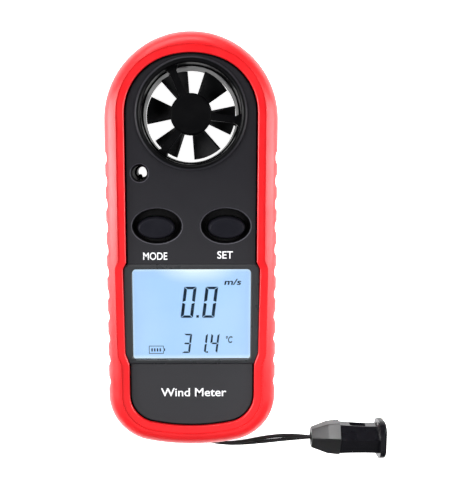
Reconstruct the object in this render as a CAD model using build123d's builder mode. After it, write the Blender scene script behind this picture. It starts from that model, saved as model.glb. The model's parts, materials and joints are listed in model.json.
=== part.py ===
from build123d import *
import math
import os

# Pocket weather meter lying on its back, in millimetres.
# +Z points out of the display face, +Y towards the fan end, Z = 0 is the table under the rubber sleeve.

# ---------------------------------------------------------------- driving dimensions
BODY_WIDTH = 44.2
BODY_LENGTH = 107.7
BODY_THICKNESS = 18.3
CORNER_RADIUS = 13.0  # lower corners of the outline
BOTTOM_BOW_RADIUS = 60.0  # shallow bow of the lower end
FRONT_ROUND = 4.0
BACK_ROUND = 3.0
SLEEVE_WALL = 2.7
BACK_LIP = 5.2  # how far the sleeve's back rim reaches in from its outline
FIT = 0.05  # assembly gap between pieces that only rest on each other

BACK_Z = 1.2  # rear casing's outer face
SPLIT_Z = 9.0  # parting line of the two casings
FACE_Z = 17.0  # front casing's outer face
CASE_WALL = 1.4

WINDOW_HALF_WIDTH = 16.8  # sleeve's front window beside the keys
WINDOW_WIDE = 17.65  # beside the display
WINDOW_NARROW = 16.3  # below the display
WINDOW_TOP = 48.3
WINDOW_BOTTOM = -47.95
LIP_WIDTH = 2.0  # flat band round the window, sunk below the sleeve's crown
LIP_SINK = 0.35
RIM_GAP = 0.45  # open channel between the face panel and the sleeve's lip
RIM_DEPTH = 0.6

GRIP_COUNT = 11
GRIP_PITCH = 5.89
GRIP_FIRST_Y = 22.35
GRIP_DEPTH = 0.7
GRIP_HALF_LENGTH = 1.65

FAN_Y = 33.3
DUCT_RADIUS = 12.6
DUCT_REAR_RADIUS = 12.2
DUCT_WALL = 0.8
COLLAR_RADIUS = 14.15
COLLAR_TOP = 17.9
GUARD_HUB_RADIUS = 5.3
STRUT_ANGLES = (113, 233, 353)
STRUT_WIDTH = 1.8
REAR_STRUT_WIDTH = 1.4
BLADE_COUNT = 6
BLADE_TIP_RADIUS = 11.5
IMPELLER_HUB_RADIUS = 4.6
IMPELLER_Z = 9.2  # middle of the blades
BLADE_HALF_RISE = 2.3
BLADE_THICKNESS = 0.7
SHAFT_RADIUS = 0.5
BEARING_RADIUS = 1.2
MAGNET_ORBIT = 3.0
MAGNET_RADIUS = 0.8

SENSOR_X, SENSOR_Y = -13.1, 18.6
SENSOR_BORE = 1.85
SENSOR_REAR_BORE = 1.4

KEY_X, KEY_Y = 9.05, 4.6
RECESS_X, RECESS_Y = 8.8, 5.1  # each key sits low in its recess, a little off its middle
RECESS_RADII = (6.65, 4.8)  # at the face
MOAT_RADII = (6.4, 4.55)  # under the chamfer
MOAT_FLOOR_RADII = (5.7, 4.2)
MOAT_DEPTH = 2.2
KEY_TOP_RADII = (4.4, 2.5)
KEY_BASE_RADII = (4.75, 2.85)
KEY_HOLE_RADII = (5.0, 3.1)
KEY_TOP_Z = 17.6

LCD_WIDTH, LCD_HEIGHT = 30.6, 23.9
LCD_Y = -18.05
BEZEL_WIDTH, BEZEL_HEIGHT = 35.2, 26.3
BEZEL_TOP = 17.25
BEZEL_SEAT = 16.5

BOARD_BOTTOM, BOARD_TOP = 9.6, 10.6
CELL_Y = -24.7
CELL_RADIUS, CELL_HEIGHT = 10.0, 3.2
CELL_BOTTOM = 4.5
COVER_RADIUS = 12.0
COVER_FACE_Z = 1.3
SCREW_PLACES = ((15.1, 12.9), (-15.1, 12.9), (10.9, -44.2), (-10.9, -44.2))
BOARD_SCREW_PLACES = ((14.0, -36.7), (-14.0, -36.7))

PIN_X, PIN_Y, PIN_Z = 0.6, -48.8, 4.6  # the bar that the lanyard loop goes round
CORD_DIAMETER = 1.2
BUCKLE_Y, BUCKLE_Z = -56.5, 4.25
BUCKLE_START, BUCKLE_JOINT, BUCKLE_FLANGE, BUCKLE_END = 33.7, 41.6, 52.6, 54.5

# ---------------------------------------------------------------- derived places
HALF_WIDTH = BODY_WIDTH / 2
HALF_LENGTH = BODY_LENGTH / 2
TOP_CENTRE_Y = HALF_LENGTH - HALF_WIDTH
CORNER_X = HALF_WIDTH - CORNER_RADIUS
BOW_Y = BOTTOM_BOW_RADIUS - HALF_LENGTH
CORNER_Y = BOW_Y - math.sqrt((BOTTOM_BOW_RADIUS - CORNER_RADIUS) ** 2 - CORNER_X**2)
CORNER_SWEEP = math.degrees(math.atan2(BOW_Y - CORNER_Y, CORNER_X))
INNER_BACK = BACK_Z + CASE_WALL
INNER_FACE = FACE_Z - CASE_WALL
TUBE_RADIUS = DUCT_RADIUS + DUCT_WALL
DUCT_SPLIT_Z = 12.4


def save(builder, name):
    """Label a finished piece and write its STEP file."""
    builder.part.label = name
    export_step(builder.part, f"parts/{name}.step")


# ---------------------------------------------------------------- shared outlines
def body_outline(inset):
    """Outline of the meter moved inwards by inset: round top, straight sides, bowed lower end."""
    side = HALF_WIDTH - inset
    with BuildSketch() as outline:
        with BuildLine():
            CenterArc((0, TOP_CENTRE_Y), side, 0, 180)
            Line((-side, TOP_CENTRE_Y), (-side, CORNER_Y))
            CenterArc((-CORNER_X, CORNER_Y), CORNER_RADIUS - inset, 180, CORNER_SWEEP)
            CenterArc((0, BOW_Y), BOTTOM_BOW_RADIUS - inset, 180 + CORNER_SWEEP, 180 - 2 * CORNER_SWEEP)
            CenterArc((CORNER_X, CORNER_Y), CORNER_RADIUS - inset, -CORNER_SWEEP, CORNER_SWEEP)
            Line((side, CORNER_Y), (side, TOP_CENTRE_Y))
        make_face()
    return outline.sketch


def window_outline():
    """Sleeve's front window: flattened round top, a wider stretch beside the display, bowed foot."""
    blend, bow = 14.5, 21.5  # radii of the upper shoulders and of the top
    shoulder_x = WINDOW_HALF_WIDTH - blend
    top_y = WINDOW_TOP - bow
    shoulder_y = top_y + math.sqrt((bow - blend) ** 2 - shoulder_x**2)
    shoulder_angle = math.degrees(math.atan2(shoulder_y - top_y, shoulder_x))
    foot, foot_bow = 7.5, 50.0  # radii of the lower corners and of the foot
    foot_x = WINDOW_NARROW - foot
    foot_y = WINDOW_BOTTOM + foot_bow
    corner_y = foot_y - math.sqrt((foot_bow - foot) ** 2 - foot_x**2)
    foot_angle = math.degrees(math.atan2(foot_y - corner_y, foot_x))
    flank = [
        (WINDOW_HALF_WIDTH, shoulder_y),
        (WINDOW_HALF_WIDTH, -4.3),
        (WINDOW_WIDE, -6.0),
        (WINDOW_WIDE - 0.3, -28.3),
        (WINDOW_NARROW, -31.2),
        (WINDOW_NARROW, corner_y),
    ]
    with BuildSketch() as window:
        with BuildLine():
            CenterArc((shoulder_x, shoulder_y), blend, 0, shoulder_angle)
            CenterArc((0, top_y), bow, shoulder_angle, 180 - 2 * shoulder_angle)
            CenterArc((-shoulder_x, shoulder_y), blend, 180 - shoulder_angle, shoulder_angle)
            Polyline([(-x, y) for x, y in flank])
            CenterArc((-foot_x, corner_y), foot, 180, foot_angle)
            CenterArc((0, foot_y), foot_bow, 180 + foot_angle, 180 - 2 * foot_angle)
            CenterArc((foot_x, corner_y), foot, -foot_angle, foot_angle)
            Polyline(flank)
        make_face()
        steps = [v for v in window.vertices() if -33 < v.Y < -3]
        fillet(steps, 0.6)
    return window.sketch


os.makedirs("parts", exist_ok=True)

# ---------------------------------------------------------------- rubber sleeve
with BuildPart() as rubber_sleeve:
    with BuildSketch():
        add(body_outline(0))
    extrude(amount=BODY_THICKNESS)
    fillet(rubber_sleeve.faces().sort_by(Axis.Z)[-1].edges(), FRONT_ROUND)
    fillet(rubber_sleeve.faces().sort_by(Axis.Z)[0].edges(), BACK_ROUND)
    with BuildSketch(Plane.XY.offset(BACK_Z - FIT)):
        add(body_outline(SLEEVE_WALL - FIT))
    extrude(amount=FACE_Z - BACK_Z + 2 * FIT, mode=Mode.SUBTRACT)
    with BuildSketch(Plane.XY.offset(FACE_Z)):
        add(window_outline())
    extrude(amount=BODY_THICKNESS, mode=Mode.SUBTRACT)
    with BuildSketch(Plane.XY.offset(BODY_THICKNESS - LIP_SINK)):
        offset(window_outline(), amount=LIP_WIDTH)
    extrude(amount=LIP_SINK, mode=Mode.SUBTRACT)
    lip = rubber_sleeve.faces().filter_by(Axis.Z).group_by(Axis.Z)[-2][0]
    fillet(lip.inner_wires()[0].edges(), 0.3)
    with BuildSketch():
        add(body_outline(BACK_LIP))
    extrude(amount=BACK_Z, mode=Mode.SUBTRACT)
    grip_rows = [GRIP_FIRST_Y - i * GRIP_PITCH for i in range(GRIP_COUNT)]
    with BuildSketch():
        with Locations(*[(side * HALF_WIDTH, y) for side in (-1, 1) for y in grip_rows]):
            Ellipse(GRIP_DEPTH, GRIP_HALF_LENGTH)
    extrude(amount=BODY_THICKNESS, mode=Mode.SUBTRACT)
    with BuildSketch(Plane.XZ.offset(HALF_LENGTH + 1)):
        with Locations((0.8, PIN_Z)):
            RectangleRounded(11.0, 5.6, 1.2)
    extrude(amount=-6.0, mode=Mode.SUBTRACT)
save(rubber_sleeve, "rubber_sleeve")

# ---------------------------------------------------------------- front casing
with BuildPart() as front_casing:
    with BuildSketch(Plane.XY.offset(SPLIT_Z)):
        add(body_outline(SLEEVE_WALL))
    extrude(amount=FACE_Z - SPLIT_Z)
    fillet(front_casing.faces().sort_by(Axis.Z)[-1].edges(), 1.2)
    with BuildSketch(Plane.XY.offset(SPLIT_Z)):
        add(body_outline(SLEEVE_WALL + CASE_WALL))
    extrude(amount=INNER_FACE - SPLIT_Z, mode=Mode.SUBTRACT)
    # thick collars under the key recesses
    with BuildSketch(Plane.XY.offset(INNER_FACE - 1.8)):
        with Locations((-RECESS_X, RECESS_Y), (RECESS_X, RECESS_Y)):
            Ellipse(RECESS_RADII[0] + 0.7, RECESS_RADII[1] + 0.5)
    extrude(amount=1.8)
    # screw posts
    with BuildSketch(Plane.XY.offset(BOARD_TOP + FIT)):
        with Locations(*SCREW_PLACES):
            Circle(2.1)
    extrude(amount=INNER_FACE - BOARD_TOP - FIT)
    with BuildSketch(Plane.XY.offset(BOARD_TOP + FIT)):
        with Locations(*SCREW_PLACES):
            Circle(1.02)
    extrude(amount=4.6, mode=Mode.SUBTRACT)
    # fan opening
    with BuildSketch(Plane.XY.offset(SPLIT_Z)):
        with Locations((0, FAN_Y)):
            Circle(TUBE_RADIUS + FIT)
    extrude(amount=FACE_Z, mode=Mode.SUBTRACT)
    # channel that sets the face panel apart from the sleeve's lip, with a softened panel edge
    with BuildSketch(Plane.XY.offset(FACE_Z - RIM_DEPTH)):
        offset(window_outline(), amount=0.3)
        offset(window_outline(), amount=-RIM_GAP, mode=Mode.SUBTRACT)
    extrude(amount=RIM_DEPTH, mode=Mode.SUBTRACT)
    # air temperature port with its wide chamfer
    with Locations((SENSOR_X, SENSOR_Y, FACE_Z)):
        CounterSinkHole(SENSOR_BORE, SENSOR_BORE + 0.65, counter_sink_angle=80)
    # key recesses: a chamfered moat and a through hole for each key
    moat_levels = ((0.0, RECESS_RADII), (0.25, MOAT_RADII), (MOAT_DEPTH, MOAT_FLOOR_RADII))
    for side in (-1, 1):
        for (high, top_radii), (low, bottom_radii) in zip(moat_levels, moat_levels[1:]):
            for depth, radii in ((high, top_radii), (low, bottom_radii)):
                with BuildSketch(Plane.XY.offset(FACE_Z - depth)):
                    with Locations((side * RECESS_X, RECESS_Y)):
                        Ellipse(*radii)
            loft(mode=Mode.SUBTRACT)
    with BuildSketch(Plane.XY.offset(FACE_Z)):
        with Locations((-KEY_X, KEY_Y), (KEY_X, KEY_Y)):
            Ellipse(*KEY_HOLE_RADII)
    extrude(amount=-4.0, mode=Mode.SUBTRACT)
    # display opening: a seat for the bezel and a through hole for the window
    with BuildSketch(Plane.XY.offset(BEZEL_SEAT)):
        with Locations((0, LCD_Y)):
            RectangleRounded(BEZEL_WIDTH + 0.1, BEZEL_HEIGHT + 0.1, 1.5)
    extrude(amount=2.0, mode=Mode.SUBTRACT)
    with BuildSketch(Plane.XY.offset(INNER_FACE)):
        with Locations((0, LCD_Y)):
            RectangleRounded(LCD_WIDTH + 1.2, LCD_HEIGHT + 1.2, 1.2)
    extrude(amount=2.0, mode=Mode.SUBTRACT)
save(front_casing, "front_casing")

# ---------------------------------------------------------------- rear casing
COVER_RING_TOP = 4.4  # top of the thick ring round the battery opening
COVER_SEAT_Z = 2.7
COVER_BORE = 10.68
with BuildPart() as rear_casing:
    with BuildSketch(Plane.XY.offset(BACK_Z)):
        add(body_outline(SLEEVE_WALL))
    extrude(amount=SPLIT_Z - BACK_Z)
    fillet(rear_casing.faces().sort_by(Axis.Z)[0].edges(), 1.2)
    with BuildSketch(Plane.XY.offset(INNER_BACK)):
        add(body_outline(SLEEVE_WALL + CASE_WALL))
    extrude(amount=SPLIT_Z, mode=Mode.SUBTRACT)
    # tongue that enters the front casing
    with BuildSketch(Plane.XY.offset(SPLIT_Z - 1.5)):
        add(body_outline(SLEEVE_WALL + CASE_WALL - 0.4))
        add(body_outline(SLEEVE_WALL + CASE_WALL + 0.7), mode=Mode.SUBTRACT)
    extrude(amount=1.5)
    with BuildSketch(Plane.XY.offset(SPLIT_Z)):
        add(body_outline(SLEEVE_WALL + CASE_WALL + FIT))
        add(body_outline(SLEEVE_WALL + CASE_WALL + 0.7), mode=Mode.SUBTRACT)
    extrude(amount=1.2)
    # screw posts and board posts
    with BuildSketch(Plane.XY.offset(INNER_BACK)):
        with Locations(*SCREW_PLACES):
            Circle(2.5)
    extrude(amount=BOARD_BOTTOM - INNER_BACK - FIT)
    with BuildSketch(Plane.XY.offset(INNER_BACK)):
        with Locations(*BOARD_SCREW_PLACES):
            Circle(1.6)
    extrude(amount=BOARD_BOTTOM - INNER_BACK - FIT)
    # wall round the coin cell and the thick ring that holds the cover
    with BuildSketch(Plane.XY.offset(INNER_BACK)):
        with Locations((0, CELL_Y)):
            Circle(CELL_RADIUS + 1.4)
    extrude(amount=CELL_BOTTOM + CELL_HEIGHT - INNER_BACK)
    with BuildSketch(Plane.XY.offset(INNER_BACK)):
        with Locations((0, CELL_Y)):
            Circle(COVER_RADIUS + 1.2)
    extrude(amount=COVER_RING_TOP - INNER_BACK)
    # closed pocket for the lanyard bar
    with BuildSketch(Plane.XY.offset(INNER_BACK)):
        with Locations((PIN_X, PIN_Y - 0.4)):
            Rectangle(9.6, 7.6)
        add(body_outline(SLEEVE_WALL + 0.5), mode=Mode.INTERSECT)
    extrude(amount=SPLIT_Z - INNER_BACK)
    with BuildSketch(Plane.XZ.offset(HALF_LENGTH)):
        with Locations((PIN_X, PIN_Z)):
            Rectangle(5.6, 5.0)
    extrude(amount=-7.3, mode=Mode.SUBTRACT)
    with BuildSketch(Plane.YZ.offset(PIN_X - 4.0)):
        with Locations((PIN_Y, PIN_Z)):
            Circle(0.62)
    extrude(amount=8.0, mode=Mode.SUBTRACT)
    # battery opening: seat for the flange, smooth bore, room for the cell
    for radius, depth in (
        (COVER_RADIUS + 0.15, COVER_SEAT_Z - BACK_Z),
        (COVER_BORE, COVER_RING_TOP - BACK_Z),
        (CELL_RADIUS + 0.3, SPLIT_Z),
    ):
        with BuildSketch(Plane.XY.offset(BACK_Z)):
            with Locations((0, CELL_Y)):
                Circle(radius)
        extrude(amount=depth, mode=Mode.SUBTRACT)
    with BuildSketch(Plane.XY.offset(CELL_BOTTOM)):
        with Locations((0, CELL_Y + CELL_RADIUS + 1.0)):
            Rectangle(5.0, 2.4)
    extrude(amount=SPLIT_Z, mode=Mode.SUBTRACT)
    # fan and air temperature openings
    with BuildSketch(Plane.XY.offset(BACK_Z)):
        with Locations((0, FAN_Y)):
            Circle(TUBE_RADIUS + FIT)
        with Locations((SENSOR_X, SENSOR_Y)):
            Circle(SENSOR_REAR_BORE)
    extrude(amount=SPLIT_Z + 2, mode=Mode.SUBTRACT)
    # screw holes with counterbores at the back
    with Locations(*[Location((x, y, BACK_Z), (180, 0, 0)) for x, y in SCREW_PLACES]):
        CounterBoreHole(1.12, 2.0, 1.7)
    with BuildSketch(Plane.XY.offset(BOARD_BOTTOM)):
        with Locations(*BOARD_SCREW_PLACES):
            Circle(0.72)
    extrude(amount=-4.2, mode=Mode.SUBTRACT)
save(rear_casing, "rear_casing")

# ---------------------------------------------------------------- fan duct, in two halves
FAN_AXIS = Axis((0, FAN_Y, 0), (0, 0, 1))
FAN_SECTION = Plane.XZ.offset(-FAN_Y)  # radial section through the fan: local x is the radius, local y is Z
FRONT_HUB = (13.3, 15.7)
REAR_HUB = (3.0, 5.2)


def fan_plane(height, angle=0):
    """Horizontal plane on the fan's axis, turned by angle."""
    return Plane((0, FAN_Y, height)).rotated((0, 0, angle))


def guard_strut(hub_radius, width):
    """One guard arm in plan, from inside the hub to the duct wall, where it flares."""
    inner, outer, half = hub_radius - 1.0, DUCT_RADIUS + 0.3, width / 2
    with BuildSketch() as arm:
        with BuildLine():
            Polyline(
                (inner, -half),
                (outer - 1.6, -half),
                (outer, -half - 1.0),
                (outer, half + 1.0),
                (outer - 1.6, half),
                (inner, half),
                close=True,
            )
        make_face()
    return arm.sketch


with BuildPart() as duct_front:
    with BuildSketch(FAN_SECTION):
        with BuildLine():
            Polyline(
                (DUCT_RADIUS, DUCT_SPLIT_Z),
                (TUBE_RADIUS, DUCT_SPLIT_Z),
                (TUBE_RADIUS, FACE_Z + FIT),
                (COLLAR_RADIUS, FACE_Z + FIT),
                (COLLAR_RADIUS, COLLAR_TOP - 0.4),
            )
            ThreePointArc(
                (COLLAR_RADIUS, COLLAR_TOP - 0.4),
                (DUCT_RADIUS + 0.85, COLLAR_TOP),
                (DUCT_RADIUS, COLLAR_TOP - 0.8),
            )
            Line((DUCT_RADIUS, COLLAR_TOP - 0.8), (DUCT_RADIUS, DUCT_SPLIT_Z))
        make_face()
    revolve(axis=FAN_AXIS)
    for strut_angle in STRUT_ANGLES:
        with BuildSketch(fan_plane(FRONT_HUB[0] + 0.4, strut_angle)):
            add(guard_strut(GUARD_HUB_RADIUS, STRUT_WIDTH))
        extrude(amount=FRONT_HUB[1] - FRONT_HUB[0] - 0.7)
    # hub cap with a softened rim
    with BuildSketch(FAN_SECTION):
        with BuildLine():
            Polyline(
                (0, FRONT_HUB[0]),
                (GUARD_HUB_RADIUS, FRONT_HUB[0]),
                (GUARD_HUB_RADIUS, FRONT_HUB[1] - 0.5),
                (GUARD_HUB_RADIUS - 0.5, FRONT_HUB[1]),
                (0, FRONT_HUB[1] + 0.2),
                close=True,
            )
        make_face()
    revolve(axis=FAN_AXIS)
    with BuildSketch(fan_plane(FRONT_HUB[0])):
        Circle(BEARING_RADIUS + 0.02)
    extrude(amount=1.4, mode=Mode.SUBTRACT)
save(duct_front, "duct_front")

with BuildPart() as duct_rear:
    with BuildSketch(fan_plane(BACK_Z)):
        Circle(TUBE_RADIUS)
        Circle(DUCT_REAR_RADIUS, mode=Mode.SUBTRACT)
    extrude(amount=DUCT_SPLIT_Z - FIT - BACK_Z)
    for strut_angle in STRUT_ANGLES:
        with BuildSketch(fan_plane(REAR_HUB[0], strut_angle)):
            add(guard_strut(IMPELLER_HUB_RADIUS, REAR_STRUT_WIDTH))
        extrude(amount=REAR_HUB[1] - REAR_HUB[0])
    with BuildSketch(fan_plane(REAR_HUB[0])):
        Circle(IMPELLER_HUB_RADIUS)
    extrude(amount=REAR_HUB[1] - REAR_HUB[0])
    with BuildSketch(fan_plane(REAR_HUB[1])):
        Circle(BEARING_RADIUS + 0.02)
    extrude(amount=-1.4, mode=Mode.SUBTRACT)
    # pocket for the speed sensor
    with BuildSketch(fan_plane(REAR_HUB[1])):
        with Locations((MAGNET_ORBIT, 0)):
            Rectangle(1.8, 2.6)
    extrude(amount=-0.9, mode=Mode.SUBTRACT)
save(duct_rear, "duct_rear")

for bearing_name, bearing_z in (("front_bearing", FRONT_HUB[0] + 0.1), ("rear_bearing", REAR_HUB[1] - 1.3)):
    with BuildPart() as bearing:
        with BuildSketch(fan_plane(bearing_z)):
            Circle(BEARING_RADIUS)
            Circle(SHAFT_RADIUS + 0.04, mode=Mode.SUBTRACT)
        extrude(amount=1.2)
    save(bearing, bearing_name)

with BuildPart() as speed_sensor:
    with BuildSketch(fan_plane(REAR_HUB[1] - 0.85)):
        with Locations((MAGNET_ORBIT, 0)):
            Rectangle(1.6, 2.4)
    extrude(amount=0.8)
save(speed_sensor, "speed_sensor")

# ---------------------------------------------------------------- impeller
def blade_section(radius, half_angle):
    """Blade section on a plane facing along the blade's radius: a thin bar tilted to the local pitch."""
    half_chord = radius * math.sin(math.radians(half_angle))
    pitch = math.degrees(math.atan2(BLADE_HALF_RISE, half_chord))
    length = 2 * math.hypot(half_chord, BLADE_HALF_RISE)
    section_plane = Plane(origin=(radius, 0, 0), x_dir=(0, 1, 0), z_dir=(1, 0, 0))
    with BuildSketch(section_plane) as section:
        Rectangle(length, BLADE_THICKNESS, rotation=pitch)
    return section.sketch


with BuildPart() as blade:
    add(blade_section(IMPELLER_HUB_RADIUS - 0.6, 15.5))
    add(blade_section(BLADE_TIP_RADIUS + 0.5, 19))
    loft(ruled=True)

with BuildPart() as impeller:
    with Locations(fan_plane(IMPELLER_Z)):
        with PolarLocations(0, BLADE_COUNT, start_angle=STRUT_ANGLES[0]):
            add(blade.part)
    with BuildSketch(fan_plane(0)):
        Circle(BLADE_TIP_RADIUS)
    extrude(amount=BODY_THICKNESS, mode=Mode.INTERSECT)
    with BuildSketch(fan_plane(IMPELLER_Z - 3.0)):
        Circle(IMPELLER_HUB_RADIUS)
    extrude(amount=6.0)
    with BuildSketch(fan_plane(IMPELLER_Z - 3.0)):
        Circle(SHAFT_RADIUS + 0.01)
    extrude(amount=6.0, mode=Mode.SUBTRACT)
    with BuildSketch(fan_plane(IMPELLER_Z - 3.0)):
        with PolarLocations(MAGNET_ORBIT, 2):
            Circle(MAGNET_RADIUS + 0.02)
    extrude(amount=1.3, mode=Mode.SUBTRACT)
save(impeller, "impeller")

with BuildPart() as impeller_shaft:
    with BuildSketch(fan_plane(REAR_HUB[1] - 1.2)):
        Circle(SHAFT_RADIUS)
    extrude(amount=FRONT_HUB[0] + 1.2 - (REAR_HUB[1] - 1.2))
save(impeller_shaft, "impeller_shaft")

with BuildPart() as rotor_magnets:
    with BuildSketch(fan_plane(IMPELLER_Z - 3.0)):
        with PolarLocations(MAGNET_ORBIT, 2):
            Circle(MAGNET_RADIUS)
    extrude(amount=1.2)
save(rotor_magnets, "rotor_magnets")

# ---------------------------------------------------------------- air temperature sensor
SENSOR_MIDDLE_Z = 9.3
BEAD_RADIUS = 0.55
BEAD_OFFSET = 1.05  # the bead hangs off the port's axis, towards its leads
LEAD_LENGTH = 2.0
LEAD_PLANE = Plane(  # across the leads: local y is Z
    origin=(SENSOR_X, SENSOR_Y, SENSOR_MIDDLE_Z), x_dir=(0.96, -0.28, 0), z_dir=(-0.28, -0.96, 0)
)
with BuildPart() as sensor_tube:
    with BuildSketch(Plane.XY.offset(INNER_BACK + FIT)):
        with Locations((SENSOR_X, SENSOR_Y)):
            Circle(SENSOR_BORE + 0.8)
    extrude(amount=INNER_FACE - INNER_BACK - 2 * FIT)
    with BuildSketch(Plane.XY.offset(INNER_BACK)):
        with Locations((SENSOR_X, SENSOR_Y)):
            Circle(SENSOR_REAR_BORE)
    extrude(amount=BODY_THICKNESS, mode=Mode.SUBTRACT)
    with BuildSketch(Plane.XY.offset(SENSOR_MIDDLE_Z - 2.0)):
        with Locations((SENSOR_X, SENSOR_Y)):
            Circle(SENSOR_BORE)
    extrude(amount=BODY_THICKNESS, mode=Mode.SUBTRACT)
    with BuildSketch(LEAD_PLANE):
        Rectangle(1.5, 0.7)
    extrude(amount=4.0, mode=Mode.SUBTRACT)
save(sensor_tube, "sensor_tube")

with BuildPart() as sensor_bead:
    with Locations(LEAD_PLANE.offset(BEAD_OFFSET)):
        Sphere(BEAD_RADIUS)
save(sensor_bead, "sensor_bead")

with BuildPart() as sensor_leads:
    with BuildSketch(LEAD_PLANE.offset(BEAD_OFFSET + BEAD_RADIUS - 0.04)):
        with Locations((-0.28, 0), (0.28, 0)):
            Circle(0.13)
    extrude(amount=LEAD_LENGTH)
save(sensor_leads, "sensor_leads")

# ---------------------------------------------------------------- display
def display_plate(name, width, height, low, high, corner, centre_y=LCD_Y, hole=None):
    """Rounded plate of the display stack; hole is the width and height of an opening, if it has one."""
    with BuildPart() as plate:
        with BuildSketch(Plane.XY.offset(low)):
            with Locations((0, centre_y)):
                RectangleRounded(width, height, corner)
                if hole:
                    RectangleRounded(*hole, corner * 0.6, mode=Mode.SUBTRACT)
        extrude(amount=high - low)
    save(plate, name)


with BuildPart() as lcd_bezel:
    with BuildSketch(Plane.XY.offset(BEZEL_SEAT)):
        with Locations((0, LCD_Y)):
            RectangleRounded(BEZEL_WIDTH, BEZEL_HEIGHT, 1.5)
    extrude(amount=BEZEL_TOP - BEZEL_SEAT)
    chamfer(lcd_bezel.faces().sort_by(Axis.Z)[-1].edges(), 0.3)
    with BuildSketch(Plane.XY.offset(BEZEL_SEAT)):
        with Locations((0, LCD_Y)):
            RectangleRounded(LCD_WIDTH, LCD_HEIGHT, 1.0)
    extrude(amount=2.0, mode=Mode.SUBTRACT)
    chamfer(lcd_bezel.faces().sort_by(Axis.Z)[-1].inner_wires()[0].edges(), 0.25)
    # the part that stands above the casing stays inside the sleeve's window
    with BuildSketch(Plane.XY.offset(FACE_Z - 0.02)):
        Rectangle(60.0, 120.0)
        offset(window_outline(), amount=-0.15, mode=Mode.SUBTRACT)
    extrude(amount=1.0, mode=Mode.SUBTRACT)
save(lcd_bezel, "lcd_bezel")

display_plate("lcd_window", LCD_WIDTH + 1.1, LCD_HEIGHT + 1.1, INNER_FACE + 0.1, BEZEL_SEAT - 0.02, 1.1)
gasket_hole = (LCD_WIDTH + 0.2, LCD_HEIGHT + 0.2)
gasket_top = INNER_FACE - 0.02
display_plate("window_gasket", LCD_WIDTH + 2.6, LCD_HEIGHT + 3.2, 15.35, gasket_top, 1.0, hole=gasket_hole)
display_plate("lcd_glass", LCD_WIDTH + 1.6, LCD_HEIGHT + 5.2, 13.95, 15.3, 0.4)
display_plate("backlight_panel", LCD_WIDTH - 0.4, LCD_HEIGHT - 0.4, 11.9, 13.4, 0.5)
display_plate(
    "lcd_holder", LCD_WIDTH + 1.6, LCD_HEIGHT + 2.6, BOARD_TOP + FIT, 13.9, 0.8, hole=(LCD_WIDTH, LCD_HEIGHT)
)

with BuildPart() as backlight_leds:
    with BuildSketch(Plane.XY.offset(BOARD_TOP + 0.02)):
        with Locations((-8.0, LCD_Y + 4.0), (8.0, LCD_Y + 4.0), (0, LCD_Y - 6.0)):
            Rectangle(3.0, 1.4)
    extrude(amount=0.9)
save(backlight_leds, "backlight_leds")

with BuildPart() as zebra_strips:
    with BuildSketch(Plane.XY.offset(BOARD_TOP + 0.02)):
        with Locations((0, LCD_Y + LCD_HEIGHT / 2 + 1.95), (0, LCD_Y - LCD_HEIGHT / 2 - 1.95)):
            Rectangle(LCD_WIDTH - 4.0, 1.2)
    extrude(amount=3.3)
save(zebra_strips, "zebra_strips")

# ---------------------------------------------------------------- keys
def key_ellipse(height, side, radii):
    """Plane and ellipse for one level of a key."""
    with BuildSketch(Plane.XY.offset(height)) as level:
        with Locations((side * KEY_X, KEY_Y)):
            Ellipse(*radii)
    return level.sketch


for key_name, pill_name, side in (("mode_button", "mode_contact", -1), ("set_button", "set_contact", 1)):
    with BuildPart() as key:
        add(key_ellipse(INNER_FACE - 2.6, side, KEY_BASE_RADII))
        extrude(amount=3.0)
        add(key_ellipse(INNER_FACE + 0.4, side, KEY_BASE_RADII))
        add(key_ellipse(KEY_TOP_Z, side, KEY_TOP_RADII))
        loft()
        fillet(key.faces().sort_by(Axis.Z)[-1].edges(), 0.45)
        # foot that carries the contact pill
        with BuildSketch(Plane.XY.offset(INNER_FACE - 2.6)):
            with Locations((side * KEY_X, KEY_Y)):
                Circle(2.0)
        extrude(amount=-0.9)
    save(key, key_name)
    with BuildPart() as pill:
        with BuildSketch(Plane.XY.offset(INNER_FACE - 3.52)):
            with Locations((side * KEY_X, KEY_Y)):
                Circle(1.7)
        extrude(amount=-0.5)
    save(pill, pill_name)

with BuildPart() as keypad_sheet:
    with BuildSketch(Plane.XY.offset(12.9)):
        with Locations((0, KEY_Y)):
            RectangleRounded(31.5, 11.6, 2.0)
        with Locations((-KEY_X, KEY_Y), (KEY_X, KEY_Y)):
            Ellipse(KEY_BASE_RADII[0] + 0.2, KEY_BASE_RADII[1] + 0.2, mode=Mode.SUBTRACT)
    extrude(amount=0.7)
    with BuildSketch(Plane.XY.offset(BOARD_TOP + 0.12)):
        with Locations(*[(x, KEY_Y + y) for x in (-14.6, 0, 14.6) for y in (-4.6, 4.6)]):
            Circle(0.9)
    extrude(amount=12.9 - BOARD_TOP - 0.12)
save(keypad_sheet, "keypad_sheet")

with BuildPart() as key_pads:
    with BuildSketch(Plane.XY.offset(BOARD_TOP + 0.02)):
        for side in (-1, 1):
            with Locations((side * KEY_X, KEY_Y)):
                Circle(2.2)
                Rectangle(0.35, 5.0, mode=Mode.SUBTRACT)
    extrude(amount=0.08)
save(key_pads, "key_pads")

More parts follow.
